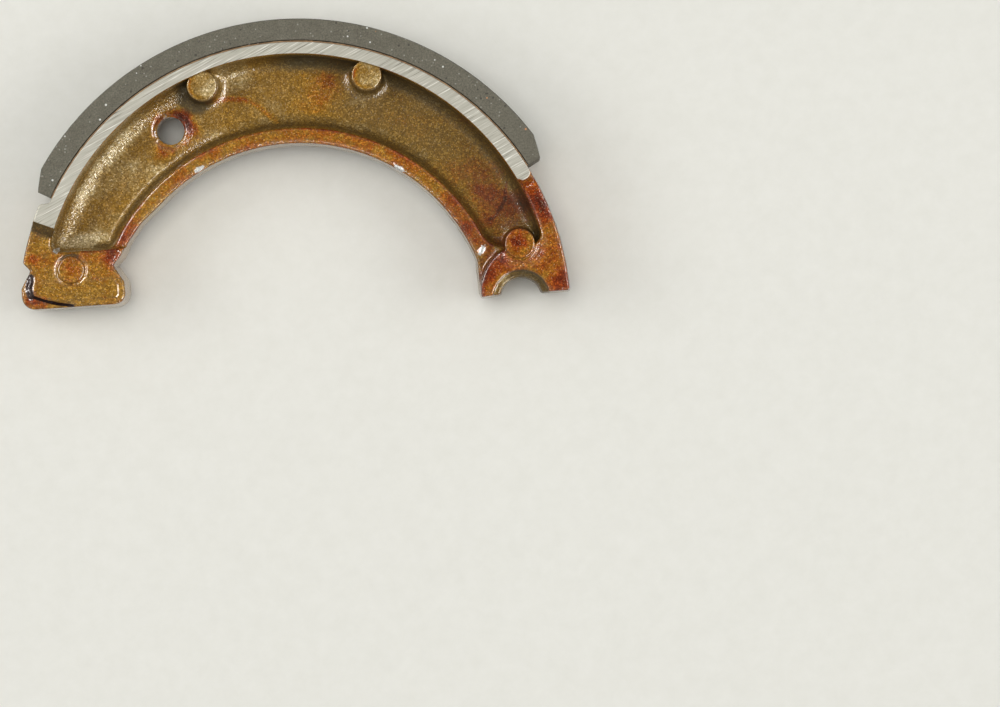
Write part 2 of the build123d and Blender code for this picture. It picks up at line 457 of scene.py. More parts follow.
def block_distance(x, y):
    """Distance in from the edge of the end blocks, which stand higher than the rib: the foot's block, the
    round shoulder over the pin, and all that lies outside the pocket's middle."""
    foot_block = np.where(x < 0, pocket_foot_end - y, -9.0)
    over_pin = shoulder_radius - np.hypot(x - shoulder_x, y - shoulder_y)
    return np.maximum(np.maximum(foot_block, over_pin), hub_distance(x, y) - outer_start)


print("the web is", -pocket_distance(np.zeros(1), np.array([40.0])).round(2), "mm inside the pocket's edge")

# %% [markdown]
# The rim's ground face stops short of both blocks and slopes down to them. At the cam end the slope starts
# at a crisp line. At the anchor end the ground face ends like a finger tip. Where a slope or a column meets
# something lower, a hollow is left between them, which takes the larger of two heights and adds a little
# where they are nearly the same.

# %% Ends of the ground face
foot_end_angle, pin_end_angle, tip_radius = 66.7, 63.2, 1.3
foot_slope, pin_slope, slope_hollow, rim_from = 0.72, 1.0, 0.9, 45.2
block_edge, block_fillet, block_lean = 0.55, 0.7, 0.12
web_level, rib_level, block_level, rim_level, seat_level = 2.4, 5.5, 8.5, 10.0, 6.3


def rim_end_distance(x, y):
    """Distance past the end of the ground face, along the rim. That end is round at the anchor end."""
    radius = np.hypot(x, y)
    angle = np.degrees(np.arctan2(-x, y))
    past_cam = np.radians(angle - foot_end_angle) * radius
    past_anchor = np.radians(-pin_end_angle - angle) * radius
    beside = np.maximum(under_rim(x, y), radius - back_radius)
    tip = np.hypot(np.maximum(past_anchor + tip_radius, 0), np.maximum(beside + tip_radius, 0)) - tip_radius
    return np.where(x < 0, past_cam, np.where(past_anchor > -tip_radius, tip, past_anchor))


def soft_max(a, b, reach):
    """The larger of two heights, with a hollow of that reach where they cross."""
    gap = np.maximum(reach - np.abs(a - b), 0) / np.maximum(reach, 1e-6)
    return np.maximum(a, b) + gap**2 * reach / 4


def block_height(x, y):
    """Height of blocks, rib and rim before the pocket is cut, with the slopes at the rim's ends."""
    top = wall_profile(block_distance(x, y), rib_level, block_level, block_edge, block_fillet, block_lean)
    slope = rim_level - np.clip(np.where(x < 0, foot_slope, pin_slope) * rim_end_distance(x, y), 0, 3)
    with_slope = np.where(x < 0, np.maximum(top, slope), soft_max(top, slope, slope_hollow))
    return np.where(np.hypot(x, y) > rim_from, with_slope, top)


print("levels above the middle:", web_level, rib_level, seat_level, block_level, rim_level, "mm")

# %% [markdown]
# The ejector pins of the die left round columns, with a wide hollow foot, and a shallow round mark on the
# foot. The hole for the return spring has a low collar on the side of the crown and a dip on the cam's side.

# %% Columns, hole and mark
# Each column: its middle, its radius, the level of its top, and the radius of its hollow foot.
bosses = [(-15.0, 43.45, 2.78, 9.35, 1.75), (15.61, 43.3, 2.78, 9.3, 1.6), (41.8, 10.2, 2.8, 8.75, 1.25)]
column_edge, column_lean, column_hollow, hollow_below = 0.26, 0.16, 0.9, 7.5
disc_x, disc_y = bosses[2][:2]
groove_radius, groove_width, groove_depth = 2.95, 0.16, 0.22
hole_x, hole_y, hole_radius = -21.68, 35.8, 2.6
collar_radius, collar_width, collar_height = 3.92, 0.8, 0.265
dip_radius, dip_width, dip_depth = 3.28, 0.3, 0.2
to_cam_x, to_cam_y = -0.93, 0.36
mark_x, mark_y, mark_radius = -41.55, 11.08, 2.68
mark_ring, mark_ring_width, mark_floor = 0.26, 0.25, 0.14


def with_columns(x, y, height):
    """The height with the ejector columns on it: each meets the web in a wide hollow."""
    for boss_x, boss_y, radius, level, flare in bosses:
        from_boss = np.hypot(x - boss_x, y - boss_y) - radius
        column = wall_profile(-from_boss, web_level, level, column_edge, flare, column_lean)
        room = np.clip((hollow_below - np.minimum(column, height)) / 3, 0, 1)
        reach = column_hollow * room * smooth_step(flare + 0.2, 0, from_boss)
        height = soft_max(height, column, reach)
    return height


def with_marks(x, y, height):
    """The height with the hole's collar and dip, a groove round the anchor end's column, and the mark."""
    from_hole = np.hypot(x - hole_x, y - hole_y)
    cam_side = to_cam_x * (x - hole_x) + to_cam_y * (y - hole_y)
    cam_side = smooth_step(0.45, 0.85, cam_side / np.maximum(from_hole, 1))
    collar = np.clip((collar_radius - from_hole) / collar_width, 0, 1)
    collar = collar_height * (0.6 * collar + 0.4 * smooth_step(0, 1, collar)) * (1 - cam_side)
    dip = dip_depth * bell(from_hole - dip_radius, dip_width) * cam_side
    on_web = height < 5
    height = height + (collar - dip) * on_web
    on_block = height > hollow_below
    from_disc = np.hypot(x - disc_x, y - disc_y)
    height = height - groove_depth * bell(from_disc - groove_radius, groove_width) * on_block
    from_mark = np.hypot(x - mark_x, y - mark_y)
    height = height + mark_ring * bell(from_mark - mark_radius, mark_ring_width)
    return height - mark_floor * smooth_step(mark_radius, mark_radius - 0.35, from_mark)


print(len(bosses), "columns, a hole of radius", hole_radius, "and a mark of radius", mark_radius, "mm")

# %% [markdown]
# All of it comes together in one function of the place in plan. The order matters: the pocket is cut into
# the blocks, the columns rise from it, and the seat for the pin is cut into everything. Last, the outer
# edge is rounded over.

# %% Height of the casting
seat_recess, seat_edge, seat_fillet, seat_lean = 5.25, 0.3, 0.2, 0.1
rib_fillet, rim_fillet_more, pocket_lean, pocket_width = 2.0, 0.65, 0.34, 8.8
ground_from, ground_edge, cast_edge = 9.6, 0.1, 0.55
outer_ground_edge, outer_cast_edge = 0.12, 0.5


def casting_height(x, y, inside):
    """Height of the casting's top over its mid-plane, where inside is the distance in from the outline."""
    top = block_height(x, y)
    to_rim = np.clip((hub_distance(x, y) - bay_radius - rib_width) / pocket_width, 0, 1)
    fillet = rib_fillet + rim_fillet_more * smooth_step(0.3, 0.7, to_rim)
    edge = np.where(top > ground_from, ground_edge, cast_edge)
    height = wall_profile(pocket_distance(x, y), web_level, top, edge, fillet, pocket_lean)
    height = with_marks(x, y, with_columns(x, y, height))
    from_pin = np.hypot(x - pin_x, y)
    seat = wall_profile(from_pin - seat_recess, seat_level, height, seat_edge, seat_fillet, seat_lean)
    height = np.where(from_pin < seat_recess + 0.35, np.minimum(height, seat), height)
    edge = np.where(height > ground_from, outer_ground_edge, outer_cast_edge)
    return height - edge + np.sqrt(np.maximum(edge**2 - np.clip(edge - inside, 0, edge) ** 2, 0))


check_x, check_y = np.array([0.0, 0.0, 0.0, -41.4]), np.array([49.0, 42.0, 33.0, 8.0])
levels = casting_height(check_x, check_y, edge_distance(check_x, check_y))
print("rim, web, rib and foot stand at", levels.round(2), "mm")

# %% [markdown]
# ## Points where the shape needs them
#
# An even grid fine enough for the walls would need millions of points. Instead, rows of points run along
# each edge: close together across a wall, and far apart where the surface is flat. Blender's
# triangulation then joins the rows and a coarser grid between them into one mesh, and keeps the lines along
# the rows as edges of it. A row is found by sliding points to where a distance has the wanted value.

# %% Rows along the pocket's walls
def slide(points, field, level):
    """Points moved along a field's slope until the field has the wanted level, by Newton's rule."""
    moved = points.copy()
    step = 0.01
    for _ in range(4):
        x, y = moved.T
        slope_x = (field(x + step, y) - field(x - step, y)) / (2 * step)
        slope_y = (field(x, y + step) - field(x, y - step)) / (2 * step)
        share = (field(x, y) - level) / np.maximum(slope_x**2 + slope_y**2, 0.2)
        moved -= np.stack([share * slope_x, share * slope_y], axis=1)
    return moved


pocket_line = soft_loop(
    np.vstack([
        arc((rim_centre_x, rim_centre_y), rim_wall_radius, 11.2, 163.2),
        arc((0, -bay_drop), bay_radius + rib_width, 151.6, 21.0),
    ]),
    0.05,
    0.3,
)
pocket_line = soft_loop(slide(pocket_line, pocket_distance, 0.0), 0.3, 0.05)

rows = []
for level in (0.55, 0.32, 0.16, 0.06, 0.0, -0.12, -0.24, -0.34, -0.42, -0.56, -0.78):
    rows.append((slide(pocket_line, pocket_distance, level), True, True))
for level in (-1.05, -1.4, -1.8, -2.25, -2.7):
    rows.append((slide(pocket_line, pocket_distance, level), True, False))
print(len(rows), "rows of", len(pocket_line), "points along the pocket")

# %% [markdown]
# Each row is kept with two answers: whether it closes on itself, and whether its points are joined by
# edges. Columns, hole, mark and seat are round, so their rows are rings.

# %% Rings round the columns, the hole, the mark and the seat
def circle(cx, cy, radius, spacing):
    """Closed ring of points in even steps."""
    turn = np.linspace(0, 2 * np.pi, max(12, int(2 * np.pi * radius / spacing)) + 1)[:-1]
    return np.stack([cx + radius * np.cos(turn), cy + radius * np.sin(turn)], axis=1)


for boss_x, boss_y, radius, *_ in bosses:
    for out in (-0.45, -0.3, -0.16, -0.05, 0.0, 0.1, 0.2, 0.27, 0.4, 0.6, 0.9, 1.3, 1.8):
        rows.append((circle(boss_x, boss_y, radius + out, 0.26), True, out < 0.5))
for radius in (2.66, 2.74, 2.86, 3.0, 3.15, 3.3, 3.45, 3.6, 3.75, 3.9, 4.05, 4.2):
    rows.append((circle(hole_x, hole_y, radius, 0.24), True, True))
for out in (-0.5, -0.32, -0.2, -0.1, 0.0, 0.1, 0.2, 0.32):
    rows.append((circle(mark_x, mark_y, mark_radius + out, 0.26), True, False))
for radius in (4.9, 5.12, 5.16, 5.2, 5.25, 5.32, 5.42, 5.6):
    rows.append((circle(pin_x, 0, radius, 0.22), True, True))
print(len(rows), "rows so far")

# %% [markdown]
# A fold in the metal runs round the foot's corner as a thin groove. It is an open line, and rows on both
# sides of it give the groove its width. The blocks' walls get open rows as well.

# %% Rows along the fold and the blocks' walls
fold_corners = [(-49.2, 10.2), (-49.65, 7.8), (-49.35, 6.75), (-47.0, 5.75), (-44.5, 5.0), (-41.7, 4.45)]
fold_line = np.array(fold_corners)
fold_path = soft_loop(np.vstack([fold_line, fold_line[::-1]]), 0.22, 0.25)
fold_path = fold_path[: len(fold_path) // 2]
way = np.gradient(fold_path, axis=0)
beside_fold = np.stack([way[:, 1], -way[:, 0]], axis=1) / np.hypot(*way.T)[:, None]
for out in (-0.34, -0.22, -0.11, 0.0, 0.11, 0.22, 0.34):
    rows.append((fold_path + beside_fold * out, False, True))
shoulder_line = arc((shoulder_x, shoulder_y), shoulder_radius, 100, 195)
foot_line = np.stack([np.linspace(-37, -31, 26), np.full(26, pocket_foot_end)], axis=1)
for start in (shoulder_line, foot_line):
    for level in (0.6, 0.35, 0.18, 0.06, 0.0, -0.06, -0.12, -0.2, -0.32, -0.5, -0.75):
        rows.append((slide(start, block_distance, level), False, True))
print(len(rows), "rows,", sum(len(points) for points, *_ in rows), "points")

# %% [markdown]
# The outline itself gets steps that are even along the edge in space, not in plan, so that the places
# where its height jumps, such as the seat's ledge, get more points.

# %% Points along the outline
edge_step, climb_share = 0.3, 0.6
on_edge = casting_height(outline[:, 0], outline[:, 1], np.zeros(len(outline)))
along = np.hypot(*(np.roll(outline, -1, axis=0) - outline).T)
climb = np.hypot(along, climb_share * (np.roll(on_edge, -1) - on_edge))
run = np.concatenate([[0], np.cumsum(climb)])
count = int(run[-1] / edge_step)
steps = np.arange(count) * run[-1] / count


def at_steps(values):
    """What each point of the outline has, a place or a direction, read off at the even steps."""
    return np.stack([np.interp(steps, run, np.append(values[:, k], values[0, k])) for k in (0, 1)], axis=1)


edge_line, edge_out = at_steps(outline), at_steps(outward)
edge_out /= np.hypot(*edge_out.T)[:, None]
hole_line = circle(hole_x, hole_y, hole_radius, 0.24)[::-1]
hole_out = -(hole_line - (hole_x, hole_y)) / hole_radius
print("outline", len(edge_line), "points, hole", len(hole_line), "points")

# %% [markdown]
# Rows just inside the outline carry its rounded edge, and a few more on the foot stand where its middle
# rises. The last rows run across the rim, where its ground face ends.

# %% Rows inside the outline and across the rim's ends
for inset in (0.04, 0.11, 0.22, 0.36, 0.55):
    rows.append((edge_line - edge_out * inset, True, True))
on_foot = (edge_line[:, 0] < 0) & (edge_line[:, 1] < 9.4)
for inset in (1.08, 1.22, 1.36, 1.5):
    rows.append(((edge_line - edge_out * inset)[on_foot][::2], False, False))
across_ends = np.linspace((-47.9, 20.0), (-43.0, 19.0), 24), np.linspace((43.0, 22.6), (46.0, 23.2), 20)
for level in (-0.05, 0.03, 0.2, 0.6, 1.0, 1.4, 1.55, 1.75):
    for start in across_ends:
        rows.append((slide(start, rim_end_distance, level), False, level < 1.5))
print(len(rows), "rows in all")

# %% [markdown]
# Every row now goes into one set of points, with the lines that join them. Points that fall outside the
# outline or into the hole are dropped.

# %% Plan of triangles
def inside_plan(x, y):
    """True for points in the casting: a ray to the right crosses the outline and the hole's edge an odd
    number of times."""
    starts = np.vstack([edge_line, hole_line])
    ends = np.vstack([np.roll(edge_line, -1, axis=0), np.roll(hole_line, -1, axis=0)])
    result = np.empty(len(x), bool)
    for part in np.array_split(np.arange(len(x)), len(x) // 4000 + 1):
        above = starts[:, 1] > y[part, None]
        crosses = above != (ends[:, 1] > y[part, None])
        with np.errstate(divide="ignore", invalid="ignore"):
            share = (y[part, None] - starts[:, 1]) / (ends[:, 1] - starts[:, 1])
        hits = crosses & (x[part, None] < starts[:, 0] + share * (ends[:, 0] - starts[:, 0]))
        result[part] = hits.sum(axis=1) % 2 == 1
    return result


def kept_lines(points, closed, first, longest=0.8):
    """Index pairs that join the points of one row, leaving out long jumps where points were dropped."""
    index = np.arange(len(points))
    pairs = np.stack([index, np.roll(index, -1)], axis=1)
    if not closed:
        pairs = pairs[:-1]
    return pairs[np.hypot(*(points[pairs[:, 0]] - points[pairs[:, 1]]).T) < longest] + first


plan = [edge_line, hole_line]
lines = [kept_lines(edge_line, True, 0), kept_lines(hole_line, True, len(edge_line))]
count = len(edge_line) + len(hole_line)
for points, closed, joined in rows:
    room = edge_distance(points[:, 0], points[:, 1])
    clear = (room > 0.03) & (np.hypot(points[:, 0] - hole_x, points[:, 1] - hole_y) > hole_radius + 0.05)
    points = points[clear]
    plan.append(points)
    if joined:
        lines.append(kept_lines(points, closed, count))
    count += len(points)
placed = np.vstack(plan)
print(len(placed), "points in rows")

# %% [markdown]
# Between the rows lies a grid of even triangles. To find the grid points that come too near a row, the
# plan is divided into small square cells: a cell with a row's point in it and the eight cells round it
# are taken, and grid points in taken cells are dropped.

# %% Grid between the rows
pitch, cell, cell_origin = 0.37, 0.17, (-54, -1)
grid_x, grid_y = np.meshgrid(np.arange(-52, 52, pitch), np.arange(0, 53, pitch * 0.866))
grid_x = grid_x + (np.arange(len(grid_x)) % 2)[:, None] * pitch / 2
grid = np.stack([grid_x.ravel(), grid_y.ravel()], axis=1)
grid = grid[inside_plan(grid[:, 0], grid[:, 1])]
taken = np.zeros((800, 400), bool)
column, line = ((placed - cell_origin) / cell).astype(int).T
for right in (-1, 0, 1):
    for up in (-1, 0, 1):
        taken[column + right, line + up] = True
column, line = ((grid - cell_origin) / cell).astype(int).T
grid = grid[~taken[column, line]]
plan_points = np.vstack([placed, grid])
print(len(grid), "points in the grid")

# %% [markdown]
# Blender's triangulation merges points closer than a few microns, and tells which points each result was
# made from. Those lists find the points of the outline and of the hole again, where the walls start.

# %% Triangulate the plan
merged_within = 0.004
flat, _, triangles, made_from, *_ = geometry.delaunay_2d_cdt(
    [Vector(point) for point in plan_points.tolist()], np.vstack(lines).tolist(), [], 0, merged_within, True
)
flat = np.array(flat)
triangles = np.array(triangles)
became = np.zeros(len(plan_points), int)
became[np.concatenate([np.array(each, int) for each in made_from])] = np.repeat(
    np.arange(len(flat)), [len(each) for each in made_from]
)
middle = flat[triangles].mean(axis=1)
triangles = triangles[inside_plan(middle[:, 0], middle[:, 1])]
used, triangles = np.unique(triangles, return_inverse=True)
flat, triangles = flat[used], triangles.reshape(-1, 3)
edge_index = np.searchsorted(used, became[: len(edge_line)])
hole_index = np.searchsorted(used, became[len(edge_line) : len(edge_line) + len(hole_line)])
sides = flat[triangles]
area = np.cross(sides[:, 1] - sides[:, 0], sides[:, 2] - sides[:, 0])
triangles = np.where(area[:, None] < 0, triangles[:, ::-1], triangles)
print(len(flat), "points and", len(triangles), "triangles on each side")
print("edge points moved by", np.abs(flat[edge_index] - edge_line).max().round(4), "mm at most")

# %% [markdown]
# ## Surface of the casting
#
# Sand-blasted die castings aren't quite flat: the surface rolls a little. Small blows have chipped the rib's
# inner edge in three places and one corner of the foot, down to the bare alloy. The fold runs round the
# foot's corner, and the middle of the foot stands a little higher than its edge. The two sides get
# different seeds, so that they aren't copies of each other, and the damage is on the upper one only.

# %% Chips and the fold
# Each chip: its middle, half its length and width, and the angle it lies at, in degrees.
chips = [
    (-16.8, 28.2, 1.15, 0.5, 27), (20.4, 25.75, 1.2, 0.5, -35),
    (34.75, 9.6, 1.1, 0.55, 62), (-44.1, 14.95, 0.68, 0.55, 60),
]
chip_depth, fold_depth, fold_width, plateau_height = 0.26, 0.5, 0.2, 0.2


def line_distance(x, y, corners):
    """Distance to a broken line: the least of the distances to its runs, each to the nearest place on it."""
    nearest = np.full(len(x), 1e3)
    for (ax, ay), (bx, by) in zip(corners[:-1], corners[1:]):
        along = (x - ax) * (bx - ax) + (y - ay) * (by - ay)
        along = np.clip(along / ((bx - ax) ** 2 + (by - ay) ** 2), 0, 1)
        nearest = np.minimum(nearest, np.hypot(x - ax - along * (bx - ax), y - ay - along * (by - ay)))
    return nearest


def fold_distance(x, y):
    """Distance to the fold, scaled so that its upper part, round the foot's side, comes out broader."""
    return np.minimum(line_distance(x, y, fold_line[1:]), 0.42 * line_distance(x, y, fold_line[:3]))


print(len(chips), "chips and a fold of", len(fold_line) - 1, "runs")

# %% Surface of each side
def side_height(flat, inside, seed, damaged):
    """Height of one side with its rolls, which leave the ground face true, and with its damage."""
    height = casting_height(*flat.T, inside)
    rolls = 0.028 * sine_noise(flat, seed, 3.2, 9) + 0.005 * sine_noise(flat, seed + 1, 0.9, 1.8)
    height = height + smooth_step(9.9, 9.5, height) * rolls
    if not damaged:
        return height
    ragged = 1 + 0.15 * sine_noise(flat, 5, 0.5, 1)
    for chip_x, chip_y, long, wide, angle in chips:
        cos, sin = np.cos(np.radians(angle)), np.sin(np.radians(angle))
        turned = (flat - (chip_x, chip_y)) @ np.array([[cos, -sin], [sin, cos]])
        apart = np.hypot(turned[:, 0] / long, turned[:, 1] / wide)
        height = height - chip_depth * long * smooth_step(1.1, 0.5, apart * ragged)
    height = height - fold_depth * bell(fold_distance(*flat.T), fold_width)
    plateau = smooth_step(1.1, 1.42, inside) * smooth_step(9.6, 8.6, flat[:, 1]) * (flat[:, 0] < 0)
    return height + plateau_height * plateau


inside = edge_distance(flat[:, 0], flat[:, 1])
top_z = side_height(flat, inside, 1, True)
under_z = -side_height(flat, inside, 31, False)
print("top from", top_z.min().round(2), "to", top_z.max().round(2), "mm")

# %% [markdown]
# ## Walls between the two sides
#
# The outline and the hole each carry a wall from one side to the other. The two halves of the die met at
# the middle of the shoe's width, so every wall leans out towards the middle by about one degree, or by
# three and a half in the bay, and has a faint ridge there. The back, under the lining, is left straight.

# %% Walls
wall_draft, bay_draft, ridge = 1.1, 3.5, 0.05


def wall(line, rim, out, draft, straight, levels=9):
    """Points between the two sides below each point of an edge line, whose numbers in the plan are rim. The
    height goes down in steps that are closer near both sides, and each point moves out by the draft, the
    ridge and a little noise."""
    share = np.linspace(0, 1, levels + 2)[1:-1, None]
    share = share - 0.05 * np.sin(2 * np.pi * share)
    z = top_z[rim] + (under_z[rim] - top_z[rim]) * share
    lean = np.radians(draft) * (np.where(z > 0, top_z[rim], -under_z[rim]) - np.abs(z))
    lean = lean + ridge * (np.abs(share - 0.5) < 0.01)
    points = np.stack([line[:, 0] + 0 * z, line[:, 1] + 0 * z, z], axis=2)
    rolls = 0.03 * sine_noise(points.reshape(-1, 3), 9, 2, 6).reshape(z.shape) * np.sin(np.pi * share)
    push = (lean + rolls) * (1 - straight)
    points[..., 0] += out[:, 0] * push
    points[..., 1] += out[:, 1] * push
    return points


def wall_faces(rim, points, first, total):
    """Triangles of one wall: its edge line above, its own rows, and the same edge line below."""
    between = first + np.arange(points.shape[0] * points.shape[1]).reshape(points.shape[:2])
    rows = np.vstack([rim, between, rim + total])
    ahead = np.roll(rows, -1, axis=1)
    quads = np.stack([rows[:-1], rows[1:], ahead[1:], ahead[:-1]], axis=2).reshape(-1, 4)
    return np.vstack([quads[:, [0, 1, 2]], quads[:, [0, 2, 3]]])


total = len(flat)
print("walls lean out by", wall_draft, "degrees, and by", bay_draft, "in the bay")

# %% The whole casting
under_lining = np.degrees(np.arctan2(np.abs(edge_line[:, 0]), edge_line[:, 1]))
on_back = np.abs(np.hypot(*edge_line.T) - back_radius) < 0.3
straight = on_back * smooth_step(64, 61.5, under_lining)
in_bay = smooth_step(37.0, 36.5, hub_distance(*edge_line.T)) * smooth_step(0.9, 1.8, edge_line[:, 1])
drafts = wall_draft + (bay_draft - wall_draft) * in_bay
rim_wall = wall(edge_line, edge_index, edge_out, drafts, straight)
hole_wall = wall(hole_line, hole_index, hole_out, wall_draft, np.zeros(len(hole_line)), 7)
casting_points = np.vstack([
    np.column_stack([flat, top_z]),
    np.column_stack([flat, under_z]),
    rim_wall.reshape(-1, 3),
    hole_wall.reshape(-1, 3),
])
casting_faces = np.vstack([
    triangles,
    triangles[:, ::-1] + total,
    wall_faces(edge_index, rim_wall, 2 * total, total),
    wall_faces(hole_index, hole_wall, 2 * total + rim_wall.size // 3, total),
])
print(len(casting_points), "points,", len(casting_faces), "triangles")

# %% [markdown]
# ## Where the lacquer is thick
#
# The amber lacquer was dipped or sprayed on and ran before it dried. Where it is thin, the alloy shines
# through as a pale olive gold. Where it pooled, against edges, in corners and round the hole, it turns
# orange, rust and then a dark maroon. The amount is worked out for each point and kept with the mesh, and
# the material turns it into colour.

# %% Pools of lacquer
# Each pool: its middle, its size and how much lacquer it adds. Where it is less than nothing, it is thin.
pools = [
    (-19.8, 38.7, 1.4, 0.5), (-18.6, 37.4, 1.4, 0.5), (-17.6, 36.0, 1.4, 0.4), (-17.0, 34.4, 1.5, 0.3),
    (-23.9, 31.4, 1.3, 0.42), (-18.6, 32.3, 1.4, 0.3), (-24.2, 38.4, 1.4, 0.32), (-21.8, 30.9, 1.3, 0.26),
    (-31.8, 16.4, 1.3, 0.36), (-20.0, 28.9, 1.2, 0.15), (-16.3, 30.6, 1.3, 0.26), (-13.5, 31.6, 1.4, 0.26),
    (-34.0, 13.1, 1.3, 0.42), (-48.4, 13.3, 1.0, 0.32), (-49.6, 6.0, 1.1, 0.4), (-47.4, 5.2, 1.2, 0.34),
    (-41.5, 10.9, 1.6, 0.22), (8.5, 42.9, 1.5, 0.2), (5.0, 40.2, 5.5, 0.06), (37.3, 21.2, 2.4, 0.24),
    (39.3, 18.6, 4.2, 0.26), (34.8, 20.4, 1.7, 0.24), (40.8, 18.4, 1.4, 0.16), (43.1, 17.1, 1.3, 0.26),
    (36.3, 14.8, 1.3, 0.2), (17.4, 28.9, 3.4, -0.1), (23.8, 25.9, 2.4, 0.08), (28.5, 21.2, 2.2, 0.04),
    (32.3, 13.9, 1.3, 0.45), (33.7, 11.5, 1.0, 0.2), (45.4, 18.3, 1.2, 0.34), (46.4, 16.4, 1.4, 0.42),
    (47.3, 14.6, 1.1, 0.3), (48.3, 11.6, 2.2, 0.17), (36.6, 7.0, 1.9, 0.22), (35.3, 4.0, 1.9, 0.16),
    (49.3, 2.9, 1.7, 0.22), (41.5, 10.5, 1.3, 0.52), (38.5, 7.3, 1.0, 0.2), (-8.0, 44.3, 2.6, -0.15),
    (38.2, 3.4, 1.5, -0.25), (43.2, 5.6, 1.9, -0.1), (46.0, 10.2, 2.0, -0.12), (-45.8, 9.0, 1.8, -0.1),
    (-37.5, 8.6, 2.4, -0.08), (10.5, 30.9, 2.2, -0.1), (-26.8, 21.3, 2.8, -0.14),
    (28.4, 19.4, 2.2, -0.16), (44.6, 3.6, 1.6, -0.1), (-16.6, 43.9, 1.2, 0.2), (14.0, 44.2, 1.2, 0.3),
]
print(len(pools), "pools, of which", sum(more < 0 for *_, more in pools), "are thin places")

# %% Amount of lacquer
rib_reach = 39.5


def lacquer(points, seed, share):
    """Thickness of the lacquer from 0 to 1: a level for each part, less in the hollows beside the pocket's
    walls, which paints them paler, partly as thin lacquer and partly as painted highlight, plus ridges along
    the rib's edge, the block's edges and round the hole, plus a bell for every pool, scaled by its share.
    Waves bend the pools' outlines and vary the whole. Each column's top has its own level."""
    x, y, z = points.T
    tall, hub, from_pocket = np.abs(z), hub_distance(x, y), pocket_distance(x, y)
    on_rib = (from_pocket > 0.1) & (hub < rib_reach) & (tall > 4.5) & (tall < 6.2)
    on_block = (from_pocket > 0.0) & (tall > 7.6)
    amount = 0.23 + 0.12 * smooth_step(-22, 12, x) + 0.26 * on_rib + (0.22 + 0.04 * (x > 0)) * on_block
    amount += 0.1 * smooth_step(27, 35, x) * (from_pocket < 0) - 0.05 * band(x, 6, 14, 27, 31) * on_rib
    # Paler bands in the hollows under the rim and along the rib: partly thin lacquer, partly painted
    # highlight.
    near_rim = band(from_pocket, -4.2, -2.0, -1.0, -0.3) * (hub > pocket_middle)
    amount -= near_rim * (0.04 + 0.15 * smooth_step(-10, -24, x))
    near_rib = band(from_pocket, -3.4, -2.2, -1.5, -0.9) * (hub < pocket_middle)
    amount -= 0.1 * near_rib * smooth_step(30, 20, x)
    for boss_x, boss_y, radius, *_ in bosses[:2]:
        from_boss = np.hypot(x - boss_x, y - boss_y)
        lower_left = smooth_step(1.0, -2.4, x - boss_x + 0.5 * (y - boss_y))
        on_top = 0.08 + 0.42 * bell(from_boss - radius + 0.5, 0.4) * lower_left
        amount = np.where((from_boss < radius - 0.1) & (tall > 6), on_top, amount)
    rolls = 0.5 + 0.5 * sine_noise(points, seed, 3, 12)
    amount += 0.17 * bell(from_pocket - 0.15, 0.3) * (hub < rib_reach) * np.clip(rolls + 0.2, 0, 1)
    amount += 0.16 * bell(block_distance(x, y) - 0.2, 0.4) * (tall > 6)
    from_disc = np.hypot(x - disc_x, y - disc_y)
    amount = np.where(from_disc < 3.1, 0.44 + 0.08 * smooth_step(1.2, 2.8, from_disc), amount)
    bent_x = x + 0.22 * sine_noise(points, seed + 2, 1.2, 4)
    bent_y = y + 0.22 * sine_noise(points, seed + 3, 1.2, 4)
    for (pool_x, pool_y, size, more), scale in zip(pools, share):
        amount += 0.9 * scale * more * bell(np.hypot(bent_x - pool_x, bent_y - pool_y), 1.1 * size)
    amount += 0.22 * bell(np.hypot(x - hole_x, y - hole_y) - 3.2, 0.8)
    return amount + 0.06 * sine_noise(points, seed + 7, 4, 14)


plan_x, plan_y, plan_z = casting_points.T
other_share = np.random.default_rng(53).uniform(0.2, 1.2, len(pools))
upper, lower = lacquer(casting_points, 3, np.ones(len(pools))), lacquer(casting_points, 53, other_share)
pooled = np.where(plan_z >= 0, upper, lower)
print("lacquer from", pooled.min().round(2), "to", pooled.max().round(2))

# %% [markdown]
# The lacquer isn't glossy everywhere, and some places are painted darker and greyer as painted shade: a slope
# that faces away from the light, hollows and recesses, and the cast shadow beside a column. Their gloss is
# weakened too.
# How strong this is depends on the place in plan and on the height, with a mask for each part.

